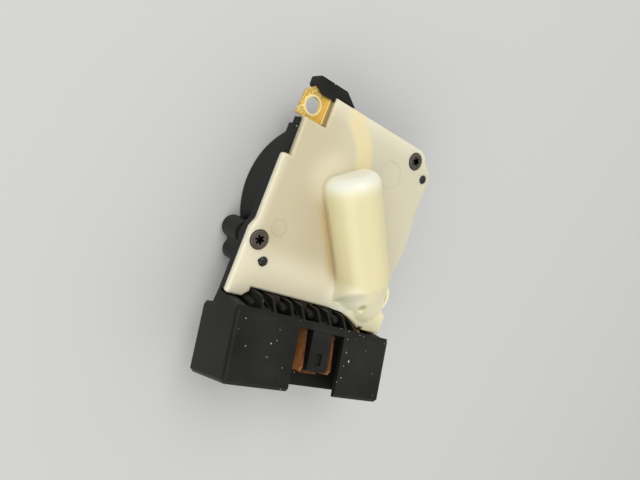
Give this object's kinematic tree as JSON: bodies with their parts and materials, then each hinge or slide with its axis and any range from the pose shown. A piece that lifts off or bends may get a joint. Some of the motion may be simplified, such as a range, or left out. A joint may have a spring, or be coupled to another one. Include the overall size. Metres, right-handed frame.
{
  "type": "ignition switch",
  "caption": "Electrical ignition switch: round drum with drive socket, cream cover with a long detent pod, and a wide tilted connector shroud with blade terminals.",
  "frame": {"origin": "on the rotor's axis, in the plane of the drum's flat bottom", "axes": "+Z along the rotor's axis and out through the cover, +X along the connector's width, +Y away from the connector"},
  "size_m": [0.0603, 0.0913, 0.0362],
  "materials": {
    "housing_plastic": "matte moulded black",
    "cover_nylon": "satin natural nylon",
    "screw_steel": "dark passivated",
    "brass": "bright stamped",
    "copper": "stamped copper",
    "rotor_plastic": "natural",
    "plunger_plastic": "natural",
    "spring_steel": "bright wire"
  },
  "bodies": {
    "base": {"housing": "housing_plastic", "cover": "cover_nylon", "cover_screws": "screw_steel", "battery_terminal": "brass", "terminal_ignition_1": "copper", "terminal_ignition_2": "copper", "terminal_feed": "copper", "terminal_key_sense": "brass", "terminal_accessory": "copper", "terminal_start": "copper", "detent_spring": "spring_steel", "return_spring": "spring_steel", "thrust_washer": "plunger_plastic"},
    "rotor": {"rotor": "rotor_plastic", "contact_spring_ignition": "spring_steel", "contact_spring_accessory": "spring_steel", "contact_spring_start": "spring_steel"},
    "detent_plunger": {"detent_plunger": "plunger_plastic"},
    "contact_bridge_ignition": {"contact_bridge_ignition": "copper"},
    "contact_bridge_accessory": {"contact_bridge_accessory": "copper"},
    "contact_bridge_start": {"contact_bridge_start": "copper"}
  },
  "joints": [
    {"name": "ignition", "type": "hinge", "parent": "base", "child": "rotor", "pos_m": [0, 0, 0.01], "axis": [0, 0, 1], "range_deg": [0, 90]},
    {"name": "detent", "type": "slide", "parent": "base", "child": "detent_plunger", "axis": [-0.5736, 0.8192, 0], "range_m": [0, 0.0009], "stiffness_N_per_m": 60, "deforming": ["detent_spring"]},
    {"name": "contact_ignition", "type": "slide", "parent": "rotor", "child": "contact_bridge_ignition", "axis": [0, 0, -1], "range_m": [0, 0.0004], "stiffness_N_per_m": 60, "deforming": ["contact_spring_ignition"]},
    {"name": "contact_accessory", "type": "slide", "parent": "rotor", "child": "contact_bridge_accessory", "axis": [0, 0, -1], "range_m": [0, 0.0004], "stiffness_N_per_m": 60, "deforming": ["contact_spring_accessory"]},
    {"name": "contact_start", "type": "slide", "parent": "rotor", "child": "contact_bridge_start", "axis": [0, 0, -1], "range_m": [0, 0.0004], "stiffness_N_per_m": 60, "deforming": ["contact_spring_start"]}
  ]
}
